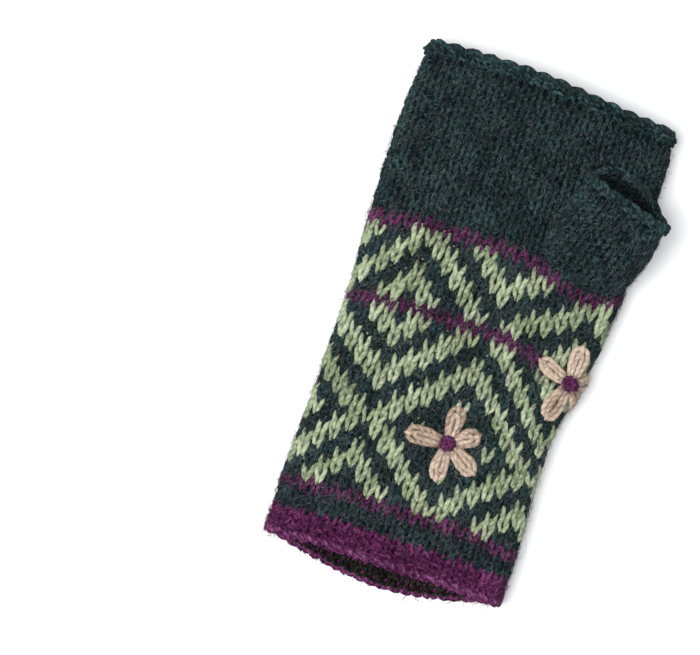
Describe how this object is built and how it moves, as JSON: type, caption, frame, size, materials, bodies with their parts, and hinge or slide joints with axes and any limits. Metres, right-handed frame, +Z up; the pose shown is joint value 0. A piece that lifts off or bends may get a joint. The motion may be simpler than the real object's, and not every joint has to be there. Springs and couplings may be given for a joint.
{
  "type": "fingerless mitt",
  "caption": "Knitted fingerless mitt with an open thumb tube, patterned wrist, ridged cuff, rolled edges and embroidered flowers, lying flat with the palm side up.",
  "frame": {"origin": "on the surface the mitt lies on, under the middle of its outline seen from above", "axes": "+X towards the thumb side, +Y from the wrist to the fingers, +Z up out of the palm side"},
  "size_m": [0.1076, 0.2016, 0.025],
  "materials": {
    "dark_wool": "matte hairy knitted wool, dark teal",
    "green_wool": "matte hairy knitted wool, sage green with dark teal",
    "purple_wool": "matte hairy knitted wool, purple",
    "blush_wool": "matte embroidery wool, blush"
  },
  "bodies": {
    "root": {"hand_section": "dark_wool", "top_edge": "dark_wool", "dark_band": "dark_wool", "thumb_tube": "dark_wool", "thumb_edge": "dark_wool", "upper_pattern": "green_wool", "lower_pattern": "green_wool", "upper_stripe": "purple_wool", "middle_stripe": "purple_wool", "lower_stripe": "purple_wool", "cuff": "purple_wool", "wrist_flower_knot": "purple_wool", "side_flower_knot": "purple_wool", "wrist_flower_petal_1": "blush_wool", "wrist_flower_petal_2": "blush_wool", "wrist_flower_petal_3": "blush_wool", "wrist_flower_petal_4": "blush_wool", "wrist_flower_petal_5": "blush_wool", "side_flower_petal_1": "blush_wool", "side_flower_petal_2": "blush_wool", "side_flower_petal_3": "blush_wool", "side_flower_petal_4": "blush_wool", "side_flower_petal_5": "blush_wool"}
  },
  "joints": []
}
